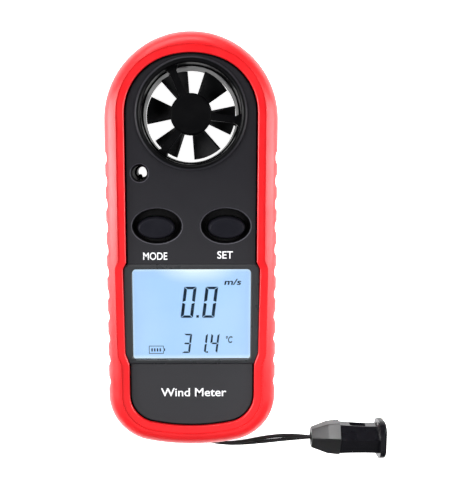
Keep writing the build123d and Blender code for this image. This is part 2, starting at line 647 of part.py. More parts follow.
# ---------------------------------------------------------------- circuit board
with BuildPart() as main_board:
    with BuildSketch(Plane.XY.offset(BOARD_BOTTOM)):
        add(body_outline(SLEEVE_WALL + CASE_WALL + 1.0))
        with Locations((0, 49.3)):
            Rectangle(60.0, 66.0, mode=Mode.SUBTRACT)
        with Locations((PIN_X, PIN_Y - 0.4)):
            Rectangle(10.4, 8.4, mode=Mode.SUBTRACT)
        with Locations((SENSOR_X, SENSOR_Y)):
            Circle(SENSOR_BORE + 1.0, mode=Mode.SUBTRACT)
        with Locations(*SCREW_PLACES):
            Circle(1.25, mode=Mode.SUBTRACT)
        with Locations(*BOARD_SCREW_PLACES):
            Circle(0.85, mode=Mode.SUBTRACT)
    extrude(amount=BOARD_TOP - BOARD_BOTTOM)
save(main_board, "main_board")


def chips(name, places, width, depth, height):
    """A group of rectangular components soldered under the board."""
    with BuildPart() as group:
        with BuildSketch(Plane.XY.offset(BOARD_BOTTOM - 0.02)):
            with Locations(*places):
                Rectangle(width, depth)
        extrude(amount=-height)
    save(group, name)


chips("controller_chip", [(0, 3.0)], 7.0, 7.0, 1.4)
chips("crystal", [(9.0, 3.0)], 3.2, 6.0, 1.6)
chips("small_components", [(x, y) for x in (-13.0, -10.0, -7.0) for y in (-3.0, 0.0, 3.0)], 1.6, 0.8, 0.6)

# ---------------------------------------------------------------- battery
with BuildPart() as coin_cell:
    with BuildSketch(Plane.XY.offset(CELL_BOTTOM)):
        with Locations((0, CELL_Y)):
            Circle(CELL_RADIUS)
    extrude(amount=CELL_HEIGHT)
    chamfer(coin_cell.edges().group_by(Axis.Z)[-1], 0.25)
    fillet(coin_cell.edges().group_by(Axis.Z)[0], 0.4)
save(coin_cell, "coin_cell")

with BuildPart() as negative_contact:
    with BuildSketch(Plane.YZ.offset(-1.5)):
        with BuildLine():
            Polyline(
                *[
                    (CELL_Y + y, BOARD_BOTTOM + z)
                    for y, z in (
                        (-6.0, -0.03),
                        (1.4, -0.03),
                        (1.4, -0.20),
                        (-4.0, -1.86),
                        (-7.5, -1.40),
                        (-7.5, -1.15),
                        (-4.0, -1.58),
                        (0.2, -0.30),
                        (-6.0, -0.30),
                    )
                ],
                close=True,
            )
        make_face()
    extrude(amount=3.0)
save(negative_contact, "negative_contact")

with BuildPart() as positive_contact:
    with BuildSketch(Plane.XY.offset(CELL_BOTTOM + 0.4)):
        with Locations((0, CELL_Y + CELL_RADIUS + 0.32)):
            Rectangle(4.0, 0.3)
    extrude(amount=BOARD_BOTTOM - 0.02 - CELL_BOTTOM - 0.4)
save(positive_contact, "positive_contact")

with BuildPart() as battery_cover:
    with BuildSketch(Plane.XY.offset(COVER_FACE_Z)):
        with Locations((0, CELL_Y)):
            Circle(COVER_RADIUS)
    extrude(amount=0.8)
    chamfer(battery_cover.edges().group_by(Axis.Z)[0], 0.2)
    with BuildSketch(Plane.XY.offset(COVER_FACE_Z + 0.8)):
        with Locations((0, CELL_Y)):
            Circle(COVER_BORE - 0.06)
    extrude(amount=2.0)
    with BuildSketch(Plane.XY.offset(COVER_FACE_Z)):
        with Locations((0, CELL_Y)):
            SlotOverall(14.0, 2.0)
    extrude(amount=1.1, mode=Mode.SUBTRACT)
save(battery_cover, "battery_cover")

with BuildPart() as cover_seal:
    with BuildSketch(Plane.XY.offset(COVER_FACE_Z + 0.83)):
        with Locations((0, CELL_Y)):
            Circle(COVER_RADIUS - 0.1)
            Circle(COVER_BORE + 0.07, mode=Mode.SUBTRACT)
    extrude(amount=0.5)
save(cover_seal, "cover_seal")

# ---------------------------------------------------------------- fasteners
with BuildPart() as casing_screws:
    for x, y in SCREW_PLACES:
        with BuildSketch(Plane.XY.offset(BACK_Z + 0.3)):
            with Locations((x, y)):
                Circle(1.85)
        extrude(amount=1.35)
        with BuildSketch(Plane.XY.offset(BACK_Z + 1.65)):
            with Locations((x, y)):
                Circle(1.0)
        extrude(amount=13.0 - BACK_Z)
        with BuildSketch(Plane.XY.offset(BACK_Z + 0.3)):
            with Locations((x, y)):
                Rectangle(2.4, 0.5)
                Rectangle(0.5, 2.4)
        extrude(amount=0.7, mode=Mode.SUBTRACT)
save(casing_screws, "casing_screws")

with BuildPart() as board_screws:
    with BuildSketch(Plane.XY.offset(BOARD_TOP + 0.02)):
        with Locations(*BOARD_SCREW_PLACES):
            Circle(1.3)
    extrude(amount=0.9)
    with BuildSketch(Plane.XY.offset(BOARD_TOP + 0.02)):
        with Locations(*BOARD_SCREW_PLACES):
            Circle(0.7)
    extrude(amount=-4.6)
save(board_screws, "board_screws")

# ---------------------------------------------------------------- lanyard bar and cord
with BuildPart() as lanyard_pin:
    with BuildSketch(Plane.YZ.offset(PIN_X - 3.9)):
        with Locations((PIN_Y, PIN_Z)):
            Circle(0.6)
    extrude(amount=7.8)
save(lanyard_pin, "lanyard_pin")

# The loop's route, from one end in the buckle to the bar and back to the buckle.
WRAP = 1.25
CORD_ROUTE = [
    (36.0, -56.50, 3.58),
    (31.5, -57.25, 2.80),
    (26.5, -58.35, 1.30),
    (20.5, -59.30, 0.64),
    (14.0, -59.75, 0.90),
    (8.4, -59.20, 2.00),
    (3.4, -57.20, 3.00),
    (0.9, -54.30, 3.40),
    (PIN_X, -50.90, PIN_Z - WRAP),
    (PIN_X, PIN_Y + WRAP, PIN_Z - WRAP),
    (PIN_X, PIN_Y + WRAP, PIN_Z + WRAP),
    (PIN_X, -50.90, PIN_Z + WRAP),
    (0.9, -54.30, 5.60),
    (3.3, -56.90, 4.60),
    (8.2, -58.70, 3.30),
    (14.0, -58.90, 2.00),
    (20.5, -57.95, 0.95),
    (26.5, -56.95, 1.70),
    (31.5, -56.35, 3.95),
    (36.0, -56.50, 4.92),
]


def corner_radii(route):
    """Largest tidy radius at each inner point: 0.45 of the shorter run over the tangent of half the turn."""
    points = [Vector(*p) for p in route]
    radii = []
    for before, here, after in zip(points, points[1:], points[2:]):
        run_in, run_out = here - before, after - here
        half_turn = math.radians(run_in.get_angle(run_out)) / 2
        radii.append(0.45 * min(run_in.length, run_out.length) / math.tan(half_turn))
    return radii


cord_radii = corner_radii(CORD_ROUTE)
print("cord radii, mm:", [round(r, 1) for r in cord_radii])
with BuildPart() as lanyard_cord:
    with BuildLine() as cord_path:
        FilletPolyline(*CORD_ROUTE, radius=cord_radii)
    start_plane = Plane(origin=cord_path.line @ 0, z_dir=cord_path.line % 0)
    with BuildSketch(start_plane):
        Circle(CORD_DIAMETER / 2)
    sweep(path=cord_path.line)
cord_length = sum(edge.length for edge in cord_path.edges())
print("cord length, mm:", round(cord_length, 2))
tube_volume = math.pi * CORD_DIAMETER**2 / 4 * cord_length
print("volume over section times length:", lanyard_cord.part.volume / tube_volume)
save(lanyard_cord, "lanyard_cord")

# ---------------------------------------------------------------- quick-release buckle
def buckle_plane(x):
    """Plane across the buckle's axis at x, with local x along +Y and local y along +Z."""
    return Plane(origin=(x, BUCKLE_Y, BUCKLE_Z), x_dir=(0, 1, 0), z_dir=(1, 0, 0))


def ridged_section(x, half_width, half_height, ridge, lean=0.0):
    """Six-sided section with a ridge along its top and its underside; lean moves all of it sideways."""
    shoulder = 0.45 * half_height
    with BuildSketch(buckle_plane(x)) as section:
        with BuildLine():
            Polyline(
                (lean + ridge, half_height),
                (lean - half_width, shoulder),
                (lean - half_width, -shoulder),
                (lean + ridge, -half_height),
                (lean + half_width, -shoulder),
                (lean + half_width, shoulder),
                close=True,
            )
        make_face()
        fillet(section.vertices(), 0.35)
    return section.sketch


with BuildPart() as buckle_plug:
    add(ridged_section(BUCKLE_START, 2.7, 2.5, 0.5))
    add(ridged_section(BUCKLE_START + 4.6, 4.3, 3.6, 0.8))
    loft()
    add(ridged_section(BUCKLE_START + 4.6, 4.3, 3.6, 0.8))
    add(ridged_section(BUCKLE_JOINT, 4.6, 3.9, 0.8))
    loft()
    # tongue between the latch fingers
    with BuildSketch(buckle_plane(BUCKLE_JOINT)):
        Rectangle(2.4, 3.8)
    extrude(amount=8.0)
    # mouth for the two strands, and the seat of their ferrule
    with BuildSketch(buckle_plane(BUCKLE_START)):
        SlotOverall(3.7, 2.3, rotation=90)
    extrude(amount=36.0 - BUCKLE_START, mode=Mode.SUBTRACT)
    with BuildSketch(buckle_plane(36.0)):
        RectangleRounded(2.0, 3.0, 0.4)
    extrude(amount=3.02, mode=Mode.SUBTRACT)
save(buckle_plug, "buckle_plug")

with BuildPart() as cord_ferrule:
    with BuildSketch(buckle_plane(36.0)):
        RectangleRounded(1.96, 2.96, 0.38)
    extrude(amount=3.0)
save(cord_ferrule, "cord_ferrule")

FINGER_ROOT = BUCKLE_JOINT + 0.3


def finger_point(side, along, across):
    """Point of a latch finger's profile, measured from its round root and from the buckle's axis."""
    return (FINGER_ROOT + along, BUCKLE_Y + side * across)


for finger_name, side in (("latch_finger_left", 1), ("latch_finger_right", -1)):
    with BuildPart() as finger:
        with BuildSketch(Plane.XY.offset(BUCKLE_Z - 1.6)):
            with BuildLine():
                root = [finger_point(side, *p) for p in ((0.35, 2.7), (0.0, 2.35), (0.35, 2.0))]
                ThreePointArc(*root)
                Polyline(
                    root[2],
                    *[finger_point(side, *p) for p in ((7.8, 2.0), (7.8, 2.5), (6.4, 2.95))],
                    *[finger_point(side, *p) for p in ((3.4, 2.95), (2.8, 2.7))],
                    root[0],
                )
            make_face()
        extrude(amount=3.2)
    save(finger, finger_name)

with BuildPart() as buckle_socket:
    add(ridged_section(BUCKLE_JOINT + 0.1, 4.2, 3.75, 0.6, -0.1))
    add(ridged_section(BUCKLE_JOINT + 5.6, 3.95, 3.55, 0.6, -0.25))
    add(ridged_section(BUCKLE_FLANGE, 3.95, 3.6, 0.6, -0.35))
    loft()
    with BuildSketch(buckle_plane(BUCKLE_FLANGE)):
        with Locations((-0.3, 0)):
            RectangleRounded(10.8, 8.0, 2.9)
    extrude(amount=BUCKLE_END - BUCKLE_FLANGE)
    fillet(buckle_socket.faces().sort_by(Axis.X)[-1].edges(), 0.8)
    with BuildSketch(buckle_plane(BUCKLE_JOINT)):
        RectangleRounded(6.1, 4.0, 0.3)
    extrude(amount=9.0, mode=Mode.SUBTRACT)
    # side windows over the latch fingers
    with BuildSketch(Plane.XZ.offset(-BUCKLE_Y)):
        with Locations((BUCKLE_JOINT + 5.2, BUCKLE_Z)):
            RectangleRounded(4.4, 2.6, 0.5)
    extrude(amount=6.0, both=True, mode=Mode.SUBTRACT)
    # mouth for a wrist strap, crossed by its bar
    with BuildSketch(buckle_plane(BUCKLE_END)):
        RectangleRounded(6.4, 3.6, 0.6)
    extrude(amount=-3.6, mode=Mode.SUBTRACT)
    with BuildSketch(Plane.XZ.offset(-BUCKLE_Y)):
        with Locations((BUCKLE_END - 1.5, BUCKLE_Z)):
            Circle(0.62)
    extrude(amount=4.2, both=True, mode=Mode.SUBTRACT)
save(buckle_socket, "buckle_socket")

with BuildPart() as strap_bar:
    with BuildSketch(Plane.XZ.offset(-BUCKLE_Y)):
        with Locations((BUCKLE_END - 1.5, BUCKLE_Z)):
            Circle(0.6)
    extrude(amount=4.1, both=True)
save(strap_bar, "strap_bar")
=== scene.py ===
import json
import math

import bpy
from mathutils import Matrix, Vector


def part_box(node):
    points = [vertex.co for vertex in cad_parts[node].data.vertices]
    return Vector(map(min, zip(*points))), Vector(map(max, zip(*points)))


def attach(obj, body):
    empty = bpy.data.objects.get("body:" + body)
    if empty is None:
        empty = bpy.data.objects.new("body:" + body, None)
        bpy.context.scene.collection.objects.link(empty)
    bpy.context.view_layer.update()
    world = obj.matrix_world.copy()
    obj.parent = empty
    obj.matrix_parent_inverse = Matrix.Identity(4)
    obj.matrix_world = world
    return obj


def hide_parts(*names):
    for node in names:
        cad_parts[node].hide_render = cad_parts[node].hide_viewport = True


# Handheld weather meter: finishes, printed legends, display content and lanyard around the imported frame.
# Everything is in metres, in the frame of the CAD part: +Z out of the face, +Y towards the fan.

MM = 0.001

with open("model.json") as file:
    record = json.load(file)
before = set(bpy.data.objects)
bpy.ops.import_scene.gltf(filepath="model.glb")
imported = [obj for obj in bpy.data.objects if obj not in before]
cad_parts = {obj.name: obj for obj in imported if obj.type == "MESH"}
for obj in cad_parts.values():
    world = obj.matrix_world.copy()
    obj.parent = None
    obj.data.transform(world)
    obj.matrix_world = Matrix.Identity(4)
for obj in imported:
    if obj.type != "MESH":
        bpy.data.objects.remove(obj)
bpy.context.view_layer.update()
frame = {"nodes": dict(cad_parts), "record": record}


# ---------------------------------------------------------------- materials
class Finish:
    """A Principled material with short helpers that build its procedural nodes."""

    def __init__(self, name, colour, roughness, specular=0.5, metallic=0.0):
        self.material = bpy.data.materials.new(name)
        self.material.use_nodes = True
        self.nodes = self.material.node_tree.nodes
        self.links = self.material.node_tree.links
        self.shader = self.nodes["Principled BSDF"]
        self.shader.inputs["Base Color"].default_value = (*colour, 1)
        self.shader.inputs["Roughness"].default_value = roughness
        self.shader.inputs["Specular IOR Level"].default_value = specular
        self.shader.inputs["Metallic"].default_value = metallic
        self.height = None
        self.place = self.nodes.new("ShaderNodeTexCoord").outputs["Object"]

    def set(self, values):
        """Sets constants on the shader's own sockets, by socket name."""
        for socket, value in values.items():
            self.shader.inputs[socket].default_value = value
        return self

    def coordinate(self, axis, vector=None):
        """One component of the object's coordinates, or of another vector."""
        parts = self.nodes.new("ShaderNodeSeparateXYZ")
        self.links.new(vector or self.place, parts.inputs["Vector"])
        return parts.outputs[axis]

    def arithmetic(self, operation, *values, clamp=False):
        """Result of one arithmetic node on one or two values."""
        node = self.nodes.new("ShaderNodeMath")
        node.operation = operation
        node.use_clamp = clamp
        for value, socket in zip(values, node.inputs):
            self.links.new(value, socket)
        return node.outputs["Value"]

    def vector_step(self, operation, vector, other, result="Vector"):
        """Result of one vector node on a vector and a constant one."""
        node = self.nodes.new("ShaderNodeVectorMath")
        node.operation = operation
        node.inputs[1].default_value = other
        self.links.new(vector, node.inputs[0])
        return node.outputs[result]

    def framed(self, centre, scale=(1, 1, 1)):
        """The object's coordinates as seen from a centre, in units of scale along each axis."""
        mapping = self.nodes.new("ShaderNodeMapping")
        mapping.vector_type = "TEXTURE"
        mapping.inputs["Location"].default_value = centre
        mapping.inputs["Scale"].default_value = scale
        self.links.new(self.place, mapping.inputs["Vector"])
        return mapping.outputs["Vector"]

    def stretched(self, scale):
        """The object's coordinates, scaled differently along each axis."""
        mapping = self.nodes.new("ShaderNodeMapping")
        mapping.inputs["Scale"].default_value = scale
        self.links.new(self.place, mapping.inputs["Vector"])
        return mapping.outputs["Vector"]

    def noise(self, size, detail=2.0, vector=None):
        """Noise whose features are about size across, from 0 to 1."""
        texture = self.nodes.new("ShaderNodeTexNoise")
        texture.inputs["Scale"].default_value = 1 / size
        texture.inputs["Detail"].default_value = detail
        self.links.new(vector or self.place, texture.inputs["Vector"])
        return texture.outputs["Fac"]

    def remap(self, value, low, high, to_low, to_high):
        """Linear map of value from one range to another, clamped."""
        node = self.nodes.new("ShaderNodeMapRange")
        for socket, number in zip(("From Min", "From Max", "To Min", "To Max"), (low, high, to_low, to_high)):
            node.inputs[socket].default_value = number
        self.links.new(value, node.inputs["Value"])
        return node.outputs["Result"]

    def blend(self, share, colour_a, colour_b, socket="Base Color"):
        """Colour between two, by share, into a socket."""
        node = self.nodes.new("ShaderNodeMix")
        node.data_type = "RGBA"
        node.inputs["A"].default_value = (*colour_a, 1)
        node.inputs["B"].default_value = (*colour_b, 1)
        self.links.new(share, node.inputs["Factor"])
        self.links.new(node.outputs["Result"], self.shader.inputs[socket])
        return self

    def shade_by(self, value, stops):
        """Multiplies the base colour by a factor that follows value through (value, factor) stops."""
        low, high = stops[0][0], stops[-1][0]
        strongest = max(factor for _, factor in stops)
        ramp = self.nodes.new("ShaderNodeValToRGB")
        elements = ramp.color_ramp.elements
        while len(elements) < len(stops):
            elements.new(0.5)
        for element, (at, factor) in zip(elements, stops):
            level = factor / strongest
            element.position = (at - low) / (high - low)
            element.color = (level, level, level, 1)
        self.links.new(self.remap(value, low, high, 0, 1), ramp.inputs["Fac"])
        base = self.shader.inputs["Base Color"]
        brightest = self.vector_step("MULTIPLY", base.links[0].from_socket, [strongest] * 3)
        product = self.nodes.new("ShaderNodeVectorMath")
        product.operation = "MULTIPLY"
        self.links.new(brightest, product.inputs[0])
        self.links.new(ramp.outputs["Color"], product.inputs[1])
        self.links.new(product.outputs["Vector"], base)
        return self

    def relief(self, height, depth):
        """Bump of a real depth in metres, stacked on any earlier one."""
        bump = self.nodes.new("ShaderNodeBump")
        bump.inputs["Strength"].default_value = 1.0
        bump.inputs["Distance"].default_value = depth
        self.links.new(height, bump.inputs["Height"])
        if self.height:
            self.links.new(self.height, bump.inputs["Normal"])
        self.height = bump.outputs["Normal"]
        self.links.new(self.height, self.shader.inputs["Normal"])
        return self

    def wear(self, low, high, size=4 * MM):
        """Roughness that drifts between two values, as handled plastic does."""
        drift = self.remap(self.noise(size, 4.0), 0.3, 0.7, low, high)
        self.links.new(drift, self.shader.inputs["Roughness"])
        return self


def red_rubber():
    finish = Finish("red_rubber", (0.52, 0.004, 0.007), 0.42, specular=0.45)
    patches = finish.remap(finish.noise(7 * MM, 3.0), 0.3, 0.7, 0, 1)
    finish.blend(patches, (0.50, 0.003, 0.006), (0.54, 0.005, 0.008))
    finish.relief(finish.noise(0.35 * MM, 3.0), 0.006 * MM)
    return finish.wear(0.32, 0.40)


def black_casing():
    """Fine matt casing, greyer towards the foot by a painted sheen, with painted shade that makes the
    recesses under the face blacker and a painted highlight along their rims.
    """
    finish = Finish("black_casing", (0.020, 0.020, 0.023), 0.5, specular=0.1)
    # painted sheen: the face is coloured lighter towards the foot and darker towards the top
    painted_sheen_fade = finish.remap(finish.coordinate("Y"), -35 * MM, 20 * MM, 0, 1)
    finish.blend(painted_sheen_fade, (0.0252, 0.0250, 0.0276), (0.0099, 0.0096, 0.0119))
    # heights in millimetres: the recesses run from 11.5 to 16.7 and are darkened as painted shade, and a
    # painted highlight lightens their rims, ending just under the face
    painted_shade_and_highlight = ((11.0, 1), (11.5, 0.1), (16.7, 0.1), (16.76, 4), (16.97, 4), (16.99, 1))
    finish.shade_by(finish.coordinate("Z"), [(height * MM, factor) for height, factor in painted_shade_and_highlight])
    finish.relief(finish.noise(0.22 * MM, 2.0), 0.008 * MM)
    return finish.wear(0.46, 0.56)


def fan_plastic():
    """Smooth black duct, with a painted highlight as a paler line round the collar's outer edge."""
    finish = Finish("fan_plastic", (0.002, 0.002, 0.0025), 0.36, specular=0.08)
    finish.blend(finish.noise(5 * MM), (0.004, 0.004, 0.005), (0.006, 0.006, 0.007))
    low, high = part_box("duct_front")
    axis = ((low.x + high.x) / 2, (low.y + high.y) / 2, 0)
    edge = (high.x - low.x) / 2
    flattened = finish.vector_step("MULTIPLY", finish.place, (1, 1, 0))
    radius = finish.vector_step("DISTANCE", flattened, axis, "Value")
    # painted highlight: the colour is raised in a thin ring just inside the collar's outer edge
    finish.shade_by(radius, [(0, 0.3), (edge - 0.55 * MM, 0.3), (edge - 0.35 * MM, 3.6), (edge, 3.6)])
    finish.relief(finish.noise(1.4 * MM), 0.010 * MM)
    return finish.wear(0.30, 0.42)


def impeller_plastic():
    finish = Finish("impeller_plastic", (0.004, 0.004, 0.005), 0.5, specular=0.3)
    finish.blend(finish.noise(3 * MM), (0.003, 0.003, 0.004), (0.006, 0.006, 0.007))
    finish.relief(finish.noise(0.3 * MM), 0.006 * MM)
    return finish.wear(0.45, 0.60)


def key_rubber():
    finish = Finish("key_rubber", (0.004, 0.004, 0.006), 0.5, specular=0.07)
    finish.blend(finish.noise(4 * MM), (0.0055, 0.0055, 0.0080), (0.0065, 0.0065, 0.0095))
    finish.relief(finish.noise(0.18 * MM), 0.005 * MM)
    return finish.wear(0.44, 0.56)


def gloss_bezel():
    """Semi-gloss frame round the display, darker along its foot."""
    finish = Finish("gloss_bezel", (0.020, 0.020, 0.022), 0.34, specular=0.25)
    above_foot = finish.remap(finish.coordinate("Y"), -31 * MM, -28 * MM, 0, 1)
    finish.blend(above_foot, (0.014, 0.015, 0.017), (0.026, 0.027, 0.029))
    finish.relief(finish.noise(0.3 * MM), 0.003 * MM)
    return finish.wear(0.26, 0.34)


def clear_window():
    """Clear window with an anti-glare coating: its index is under acrylic's 1.49, for fainter reflections."""
    finish = Finish("clear_window", (0.97, 0.985, 1.0), 0.02)
    finish.set({"Transmission Weight": 1.0, "IOR": 1.2})
    finish.relief(finish.noise(12 * MM), 0.004 * MM)
    return finish


def lcd_blue():
    """Backlit cell: light blue, with a glow at the middle of its top edge and lighter borders."""
    low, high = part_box("lcd_glass")
    finish = Finish("lcd_blue", (0.05, 0.08, 0.12), 0.15)
    glow_centre = ((low.x + high.x) / 2 + 1.2 * MM, high.y - 2.6 * MM, high.z)
    glow = finish.nodes.new("ShaderNodeTexGradient")
    glow.gradient_type = "SPHERICAL"
    finish.links.new(finish.framed(glow_centre, (11 * MM, 4.2 * MM, 20 * MM)), glow.inputs["Vector"])
    drift = finish.remap(finish.noise(16 * MM, 1.0), 0.35, 0.65, 0.0, 0.12)
    share = finish.arithmetic("ADD", glow.outputs["Fac"], drift)
    from_middle = finish.framed((low + high) / 2)
    # half of the lit area's size, how wide the lighter border is, and how strong
    for axis, edge, width, strength in (("X", 15.3, 0.5, 0.25), ("Y", 11.95, 1.0, 0.55)):
        distance = finish.arithmetic("ABSOLUTE", finish.coordinate(axis, from_middle))
        border = finish.remap(distance, (edge - width) * MM, edge * MM, 0, strength)
        share = finish.arithmetic("ADD", share, border, clamp=True)
    finish.blend(share, (0.385, 0.60, 0.91), (0.84, 0.96, 0.97), "Emission Color")
    return finish.set({"Emission Strength": 1.0})


def buckle_matt():
    finish = Finish("buckle_matt", (0.0025, 0.0025, 0.003), 0.30, specular=0.35)
    finish.blend(finish.noise(3 * MM), (0.002, 0.002, 0.0025), (0.003, 0.003, 0.0035))
    finish.relief(finish.noise(0.3 * MM), 0.008 * MM)
    return finish.wear(0.32, 0.45)


def buckle_gloss():
    finish = Finish("buckle_gloss", (0.003, 0.003, 0.004), 0.16, specular=0.12)
    finish.blend(finish.noise(3 * MM), (0.002, 0.002, 0.003), (0.004, 0.004, 0.005))
    finish.relief(finish.noise(1.6 * MM), 0.012 * MM)
    return finish.wear(0.12, 0.22)


def cord_black():
    finish = Finish("cord_black", (0.003, 0.003, 0.003), 0.6, specular=0.15)
    finish.blend(finish.noise(0.5 * MM), (0.002, 0.002, 0.002), (0.004, 0.004, 0.004))
    fibres = finish.stretched((1, 1, 6))
    return finish.relief(finish.noise(0.06 * MM, 2.0, fibres), 0.006 * MM)


def brushed_metal(name, colour, roughness, size=0.12 * MM):
    finish = Finish(name, colour, roughness, metallic=1.0)
    darker = [c * 0.86 for c in colour]
    grain = finish.stretched((1, 9, 1))
    finish.blend(finish.noise(size, 3.0, grain), darker, colour)
    finish.relief(finish.noise(size, 2.0, grain), 0.004 * MM)
    return finish.wear(roughness * 0.8, roughness * 1.25)


def plain_plastic(name, colour, roughness, size=0.3 * MM, depth=0.006 * MM):
    finish = Finish(name, colour, roughness)
    finish.blend(finish.noise(4 * MM, 3.0), [c * 0.88 for c in colour], [min(1.0, c * 1.1) for c in colour])
    finish.relief(finish.noise(size, 2.0), depth)
    return finish.wear(roughness * 0.85, min(1.0, roughness * 1.15))


def white_ink():
    finish = Finish("white_ink", (0.66, 0.66, 0.68), 0.5)
    finish.blend(finish.noise(0.4 * MM), (0.61, 0.61, 0.63), (0.71, 0.71, 0.73))
    return finish.relief(finish.noise(0.15 * MM), 0.004 * MM)


def lcd_ink():
    finish = Finish("lcd_ink", (0.006, 0.018, 0.040), 0.4, specular=0.2)
    return finish.blend(finish.noise(1.5 * MM), (0.004, 0.015, 0.034), (0.010, 0.024, 0.050))


slot_finish = {
    "red_rubber": red_rubber(),
    "black_casing": black_casing(),
    "fan_plastic": fan_plastic(),
    "impeller_plastic": impeller_plastic(),
    "key_rubber": key_rubber(),
    "gloss_bezel": gloss_bezel(),
    "clear_window": clear_window(),
    "lcd_blue": lcd_blue(),
    "buckle_matt": buckle_matt(),
    "buckle_gloss": buckle_gloss(),
    "cord_black": cord_black(),
    "steel": brushed_metal("steel", (0.62, 0.62, 0.64), 0.3),
    "brass": brushed_metal("brass", (0.75, 0.56, 0.28), 0.25),
    "magnet": brushed_metal("magnet", (0.60, 0.60, 0.62), 0.2, 0.4 * MM),
    "cell_steel": brushed_metal("cell_steel", (0.70, 0.70, 0.71), 0.25, 0.25 * MM),
    "gold": brushed_metal("gold", (0.85, 0.63, 0.25), 0.2),
    "chip_black": plain_plastic("chip_black", (0.020, 0.020, 0.022), 0.6),
    "sensor_epoxy": plain_plastic("sensor_epoxy", (0.006, 0.006, 0.006), 0.15, 0.8 * MM, 0.02 * MM),
    "foam": plain_plastic("foam", (0.045, 0.045, 0.045), 0.85, 0.4 * MM, 0.05 * MM),
    "light_guide": plain_plastic("light_guide", (0.80, 0.88, 0.95), 0.35),
    "white_plastic": plain_plastic("white_plastic", (0.82, 0.82, 0.80), 0.45),
    "led": plain_plastic("led", (0.75, 0.85, 0.95), 0.2),
    "carbon": plain_plastic("carbon", (0.012, 0.012, 0.012), 0.7),
    "board": plain_plastic("board", (0.015, 0.14, 0.06), 0.35, 0.8 * MM, 0.01 * MM),
    "cover_plastic": plain_plastic("cover_plastic", (0.026, 0.026, 0.029), 0.48, 0.2 * MM, 0.010 * MM),
}

for subpart in frame["record"]["subparts"]:
    for material_slot in frame["nodes"][subpart["node"]].material_slots:
        material_slot.material = slot_finish[subpart["material_slot"]].material


# ---------------------------------------------------------------- mesh helpers
def place_mesh(mesh, name, finish, body):
    """Puts a mesh in the scene as a piece on a body, with its finish."""
    mesh.name = name
    mesh.materials.clear()
    mesh.materials.append(finish.material)
    piece = bpy.data.objects.new(name, mesh)
    bpy.context.scene.collection.objects.link(piece)
    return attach(piece, body)


def add_piece(name, vertices, faces, finish, slot, body, smooth=False):
    """New piece from vertices and faces."""
    mesh = bpy.data.meshes.new(name)
    mesh.from_pydata([tuple(v) for v in vertices], [], faces)
    mesh.validate()
    mesh.update()
    for polygon in mesh.polygons:
        polygon.use_smooth = smooth
    return place_mesh(mesh, name, finish, body)


def mesh_of_curve(curve):
    """Mesh of a curve or text, which is removed afterwards."""
    holder = bpy.data.objects.new("holder", curve)
    bpy.context.scene.collection.objects.link(holder)
    bpy.context.view_layer.update()
    mesh = bpy.data.meshes.new_from_object(holder.evaluated_get(bpy.context.evaluated_depsgraph_get()))
    bpy.data.objects.remove(holder)
    bpy.data.curves.remove(curve)
    return mesh


def slab(outline, bottom, top):
    """Vertices and faces of a flat closed slab over an outline that runs anticlockwise."""
    count = len(outline)
    vertices = [(x, y, bottom) for x, y in outline] + [(x, y, top) for x, y in outline]
    faces = [tuple(reversed(range(count))), tuple(range(count, 2 * count))]
    faces += [(i, (i + 1) % count, count + (i + 1) % count, count + i) for i in range(count)]
    return vertices, faces


def join_slabs(outlines, bottom, top):
    """Several slabs as one vertex list and one face list."""
    vertices, faces = [], []
    for outline in outlines:
        new_vertices, new_faces = slab(outline, bottom, top)
        faces += [tuple(i + len(vertices) for i in face) for face in new_faces]
        vertices += new_vertices
    return vertices, faces


# ---------------------------------------------------------------- lanyard cord
CORD_DIAMETER = 1.1 * MM
# out of the buckle's plug, round the bar in the meter's lower end, and back to the plug
CORD_ROUTE = [
    (0.0360, -0.05650, 0.00358),
    (0.0315, -0.05725, 0.00280),
    (0.0265, -0.05835, 0.00130),
    (0.0205, -0.05930, 0.00064),
    (0.0140, -0.05975, 0.00090),
    (0.0084, -0.05920, 0.00200),
    (0.0034, -0.05720, 0.00300),
    (0.0009, -0.05430, 0.00340),
    (0.0006, -0.05090, 0.00335),
    (0.0006, -0.04755, 0.00335),
    (0.0006, -0.04755, 0.00585),
    (0.0006, -0.05090, 0.00585),
    (0.0009, -0.05430, 0.00560),
    (0.0033, -0.05690, 0.00460),
    (0.0082, -0.05870, 0.00330),
    (0.0140, -0.05890, 0.00200),
    (0.0205, -0.05795, 0.00095),
    (0.0265, -0.05695, 0.00170),
    (0.0315, -0.05635, 0.00395),
    (0.0360, -0.05650, 0.00492),
]
POINTS_PER_SPAN = 44
STRANDS = 6  # carriers that run each way round the braid
BRAID_PITCH = 4.2 * MM
BRAID_SIDES = 36
BRAID_DEPTH = 0.075 * MM
SAME_POINT = 0.001 * MM


def spline_points(route):
    """Points read along the smooth spline that has the route as its control points."""
    curve = bpy.data.curves.new("cord_route", "CURVE")
    curve.dimensions = "3D"
    curve.resolution_u = POINTS_PER_SPAN
    spline = curve.splines.new("NURBS")
    spline.points.add(len(route) - 1)
    for point, place in zip(spline.points, route):
        point.co = (*place, 1)
    spline.order_u = 3
    spline.use_endpoint_u = True
    mesh = mesh_of_curve(curve)
    points = [v.co.copy() for v in mesh.vertices]
    bpy.data.meshes.remove(mesh)
    return points[:1] + [b for a, b in zip(points, points[1:]) if (b - a).length > SAME_POINT]


def braid_height(angle, along):
    """Height of the braid's surface, 0 to 1: two families of strands that pass over and under each other."""
    turns = along / BRAID_PITCH
    u = STRANDS * (angle / math.tau + turns)
    v = STRANDS * (angle / math.tau - turns)
    over = (math.floor(u) + math.floor(v)) % 2 == 0
    across, along_strand = (u, v) if over else (v, u)
    crown = math.sin(math.pi * (across % 1)) ** 0.6
    return crown * (0.55 + 0.45 * math.sin(math.pi * (along_strand % 1)))


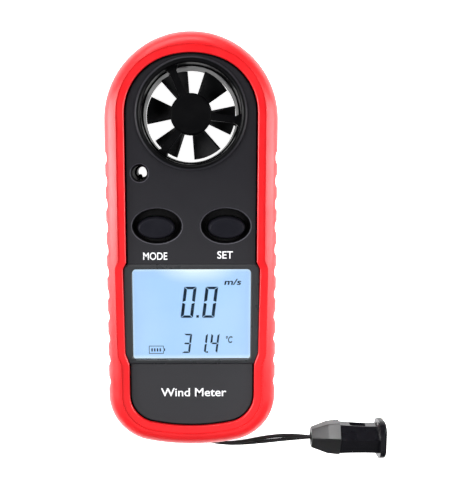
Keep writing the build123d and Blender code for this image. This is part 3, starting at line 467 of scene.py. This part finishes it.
def braided_tube(points, radius):
    """Tube along the points whose surface is the braid's relief, with flat ends."""
    vertices, faces = [], []
    side = Vector((0, 0, 1))
    along = 0.0
    last = len(points) - 1
    for i, point in enumerate(points):
        if i:
            along += (point - points[i - 1]).length
        tangent = (points[min(i + 1, last)] - points[max(i - 1, 0)]).normalized()
        side = (side - tangent * side.dot(tangent)).normalized()
        other = tangent.cross(side)
        for k in range(BRAID_SIDES):
            angle = math.tau * k / BRAID_SIDES
            r = radius - BRAID_DEPTH * (1 - braid_height(angle, along))
            vertices.append(point + r * (math.cos(angle) * side + math.sin(angle) * other))
    for i in range(last):
        start, after = i * BRAID_SIDES, (i + 1) * BRAID_SIDES
        for k in range(BRAID_SIDES):
            n = (k + 1) % BRAID_SIDES
            faces.append((start + k, start + n, after + n, after + k))
    faces.append(tuple(reversed(range(BRAID_SIDES))))
    faces.append(tuple(range(last * BRAID_SIDES, (last + 1) * BRAID_SIDES)))
    return vertices, faces


cord_line = spline_points(CORD_ROUTE)
cord = add_piece(
    "braided_cord",
    *braided_tube(cord_line, CORD_DIAMETER / 2),
    slot_finish["cord_black"],
    "cord_black",
    "meter",
    smooth=True,
)
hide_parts("lanyard_cord")


# ---------------------------------------------------------------- display content
LCD_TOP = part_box("lcd_glass")[1].z
INK_BOTTOM, INK_TOP = LCD_TOP + 0.01 * MM, LCD_TOP + 0.03 * MM
SLANT = math.tan(math.radians(7))
SEGMENTS_OF = {"0": "abcdef", "1": "bc", "3": "abcdg", "4": "bcfg"}


def segment_outlines(digit, left, bottom, width, height, stroke, gap):
    """Outlines of a seven segment digit with mitred ends, leaning to the right from its foot's left edge."""
    middle = height / 2
    s, t, g = stroke, 0.8 * stroke, gap  # upright strokes are s wide, level ones t high
    over, under = middle + t / 2 + g, middle - t / 2 - g
    shapes = {
        "a": [(g, height), (s + g, height - t), (width - s - g, height - t), (width - g, height)],
        "d": [(g, 0), (width - g, 0), (width - s - g, t), (s + g, t)],
        "g": [
            (s / 2 + g, middle),
            (s + g, middle - t / 2),
            (width - s - g, middle - t / 2),
            (width - s / 2 - g, middle),
            (width - s - g, middle + t / 2),
            (s + g, middle + t / 2),
        ],
        "f": [(0, middle + g), (s, over), (s, height - t - g), (0, height - g)],
        "e": [(0, g), (s, t + g), (s, under), (0, middle - g)],
        "b": [(width, middle + g), (width, height - g), (width - s, height - t - g), (width - s, over)],
        "c": [(width, g), (width, middle - g), (width - s, under), (width - s, t + g)],
    }
    placed = []
    for key in SEGMENTS_OF[digit]:
        corners = [(left + x + y * SLANT, bottom + y) for x, y in shapes[key]]
        turn = sum(x0 * y1 - x1 * y0 for (x0, y0), (x1, y1) in zip(corners, corners[1:] + corners[:1]))
        placed.append(corners if turn > 0 else corners[::-1])
    return placed


def box_outline(left, bottom, width, height):
    """Anticlockwise rectangle."""
    return [(left, bottom), (left + width, bottom), (left + width, bottom + height), (left, bottom + height)]


def reading(digits, shape, point):
    """Outlines of a row of digits, as (digit, left) pairs, and of its square decimal point."""
    outlines = [outline for digit, left in digits for outline in segment_outlines(digit, left, **shape)]
    left, bottom, side = point
    return outlines + [box_outline(left, bottom, side, side)]


def battery_outlines(left, bottom, width, height, line):
    """Level battery symbol: a frame that opens at its terminal, and four bars."""
    right, top = left + width, bottom + height
    stub = 0.60  # the frame's right side, above and below its opening
    frame_lines = [
        box_outline(left, bottom, width, line),
        box_outline(left, top - line, width, line),
        box_outline(left, bottom + line, line, height - 2 * line),
        box_outline(right - line, bottom + line, line, stub),
        box_outline(right - line, top - line - stub, line, stub),
    ]
    terminal = box_outline(right, bottom + 0.70, 0.34, 0.74)
    bars = [box_outline(left + 0.63 + 0.72 * i, bottom + 0.60, 0.38, 0.85) for i in range(4)]
    return [*frame_lines, terminal, *bars]


INK = lcd_ink()
WIND_DIGIT = {"bottom": -19.2, "width": 3.25, "height": 8.25, "stroke": 0.80, "gap": 0.09}
AIR_DIGIT = {"bottom": -28.7, "width": 2.15, "height": 5.2, "stroke": 0.52, "gap": 0.06}

# display elements in millimetres on the face
for name, outlines in (
    ("lcd_wind_digits", reading([("0", -2.92), ("0", 2.68)], WIND_DIGIT, (1.21, -19.18, 0.68))),
    ("lcd_air_digits", reading([("3", -2.65), ("1", 1.5), ("4", 4.55)], AIR_DIGIT, (3.81, -28.68, 0.46))),
    ("lcd_battery_icon", battery_outlines(-11.3, -28.85, 3.9, 2.14, 0.16)),
):
    scaled = [[(x * MM, y * MM) for x, y in outline] for outline in outlines]
    add_piece(name, *join_slabs(scaled, INK_BOTTOM, INK_TOP), INK, "lcd_blue", "meter")


# ---------------------------------------------------------------- lettering
def lettering(name, text, place, size, finish, bold=0.0, shear=0.0):
    """Text that lies flat, centred on a place, scaled to a width, cap height and thickness."""
    curve = bpy.data.curves.new(name, "FONT")
    curve.body = text
    curve.size = 1.0
    curve.offset = bold
    curve.shear = shear
    curve.extrude = 0.5
    curve.resolution_u = 6
    mesh = mesh_of_curve(curve)
    low = Vector([min(v.co[i] for v in mesh.vertices) for i in range(3)])
    high = Vector([max(v.co[i] for v in mesh.vertices) for i in range(3)])
    centre_it = Matrix.Translation(-(low + high) / 2)
    scale_it = Matrix.Diagonal([wanted / drawn for wanted, drawn in zip(size, high - low)]).to_4x4()
    lay_it = Matrix.Translation(Vector(place) + Vector((0, 0, size[2] / 2)))
    mesh.transform(lay_it @ scale_it @ centre_it)
    return place_mesh(mesh, name, finish, "meter")


FACE = 17.0 * MM
LEGEND_THICKNESS = 0.02 * MM
INK_WHITE = white_ink()
for name, text, x, y, width, height in (
    ("legend_mode", "MODE", -9.3, -2.64, 6.2, 1.95),
    ("legend_set", "SET", 8.65, -2.38, 4.0, 1.95),
    ("legend_wind_meter", "Wind Meter", 0.45, -38.9, 17.2, 2.25),
):
    size = (width * MM, height * MM, LEGEND_THICKNESS)
    lettering(name, text, (x * MM, y * MM, FACE), size, INK_WHITE, bold=0.01)

for name, text, x, y, width, height in (
    ("lcd_unit_speed", "m/s", 10.72, -9.7, 4.44, 1.6),
    ("lcd_unit_celsius", "°C", 9.85, -25.05, 1.75, 1.9),
):
    size = (width * MM, height * MM, INK_TOP - INK_BOTTOM)
    lettering(name, text, (x * MM, y * MM, INK_BOTTOM), size, INK, bold=0.02, shear=0.15)


# ---------------------------------------------------------------- floor, light and camera
def emitting_floor():
    """Pale table that is lit from within a little, as a light table is."""
    finish = Finish("pale_floor", (0.85, 0.85, 0.85), 0.9, specular=0.1)
    finish.blend(finish.noise(60 * MM), (0.84, 0.84, 0.84), (0.87, 0.87, 0.87))
    finish.set({"Emission Color": (1, 1, 1, 1), "Emission Strength": 1.0})
    return finish.material


FLOOR_SIDE = 3.0
FLOOR_DROP = 0.05 * MM  # keeps the floor clear of the sleeve's back
bpy.ops.mesh.primitive_plane_add(size=FLOOR_SIDE, location=(0, 0, -FLOOR_DROP))
floor = bpy.context.object
floor.name = "table"
floor.data.materials.append(emitting_floor())


def softbox(name, place, aim, width, height, power, spread=180):
    """Rectangular area light at place, turned to face aim; spread is its beam's full angle in degrees."""
    light = bpy.data.lights.new(name, "AREA")
    light.shape = "RECTANGLE"
    light.size, light.size_y = width, height
    light.energy = power
    light.spread = math.radians(spread)
    holder = bpy.data.objects.new(name, light)
    holder.location = place
    holder.rotation_euler = (Vector(aim) - Vector(place)).to_track_quat("-Z", "Y").to_euler()
    bpy.context.scene.collection.objects.link(holder)


MIDDLE = (0, 0, 0.01)
BUCKLE = (0.044, -0.056, 0.004)
softbox("key_box", (-0.10, 0.46, 0.26), MIDDLE, 0.40, 0.20, 1.6)
softbox("fill_box", (0.05, -0.30, 0.50), MIDDLE, 0.45, 0.25, 0.35)
softbox("buckle_box", (0.02, 0.05, 0.16), BUCKLE, 0.03, 0.03, 0.006, spread=20)
softbox("left_strip", (-0.42, 0.04, 0.22), MIDDLE, 0.24, 0.60, 6.0)
softbox("right_strip", (0.42, 0.02, 0.22), MIDDLE, 0.24, 0.60, 4.4)


def studio_world():
    """Surroundings that are dark overhead and bright towards the horizon."""
    world = bpy.data.worlds.new("studio")
    world.use_nodes = True
    nodes, links = world.node_tree.nodes, world.node_tree.links
    direction = nodes.new("ShaderNodeTexCoord").outputs["Generated"]
    parts = nodes.new("ShaderNodeSeparateXYZ")
    links.new(direction, parts.inputs["Vector"])
    ramp = nodes.new("ShaderNodeValToRGB")
    stops = ramp.color_ramp.elements
    stops.new(0.6)
    for stop, (position, level) in zip(stops, ((0.0, 0.40), (0.6, 0.12), (1.0, 0.02))):
        stop.position = position
        stop.color = (level, level, level, 1)
    links.new(parts.outputs["Z"], ramp.inputs["Fac"])
    links.new(ramp.outputs["Color"], nodes["Background"].inputs["Color"])
    return world


bpy.context.scene.world = studio_world()

CAMERA_PLACE = (0.74 * MM, 23.6 * MM, 200.7 * MM)
CAMERA_TILT = math.radians(-7.65)
CAMERA_ROLL = math.radians(-0.18)
camera_data = bpy.data.cameras.new("camera")
camera_data.sensor_width = 36.0
camera_data.lens = 52.0
camera_data.shift_x = 0.067
camera_data.clip_start = 0.005
camera = bpy.data.objects.new("camera", camera_data)
camera.location = CAMERA_PLACE
camera.rotation_euler = (CAMERA_TILT, 0, CAMERA_ROLL)
bpy.context.scene.collection.objects.link(camera)
bpy.context.scene.camera = camera
bpy.context.scene.view_settings.view_transform = "Standard"
